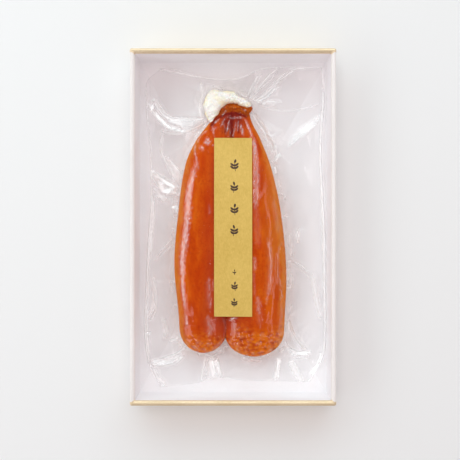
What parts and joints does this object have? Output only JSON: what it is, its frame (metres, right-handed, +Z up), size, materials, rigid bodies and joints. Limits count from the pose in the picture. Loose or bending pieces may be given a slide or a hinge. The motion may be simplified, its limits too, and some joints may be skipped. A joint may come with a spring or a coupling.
{
  "type": "boxed vacuum pack of bottarga",
  "caption": "Open paperboard gift tray with gilt ends, holding a cured mullet roe pair sealed in clear film under a paper strip.",
  "frame": {"origin": "middle of the tray's underside", "axes": "+Z up, +Y along the tray towards the neck of the roe, +X across the tray to the right of the roe seen from above with its neck away"},
  "size_m": [0.13, 0.225, 0.03],
  "materials": {
    "board": "matte white lining paper over rigid board",
    "gilt": "satin pale gold paper",
    "roe": "translucent cured roe under clear glossy film",
    "label": "matte mustard gold paper",
    "film": "clear glossy creased film",
    "crest": "pale dried flesh, crumpled"
  },
  "bodies": {
    "root": {"tray": "board", "gilt_end_neck": "gilt", "gilt_end_tip": "gilt", "pack": "roe", "label_strip": "label"}
  },
  "joints": []
}
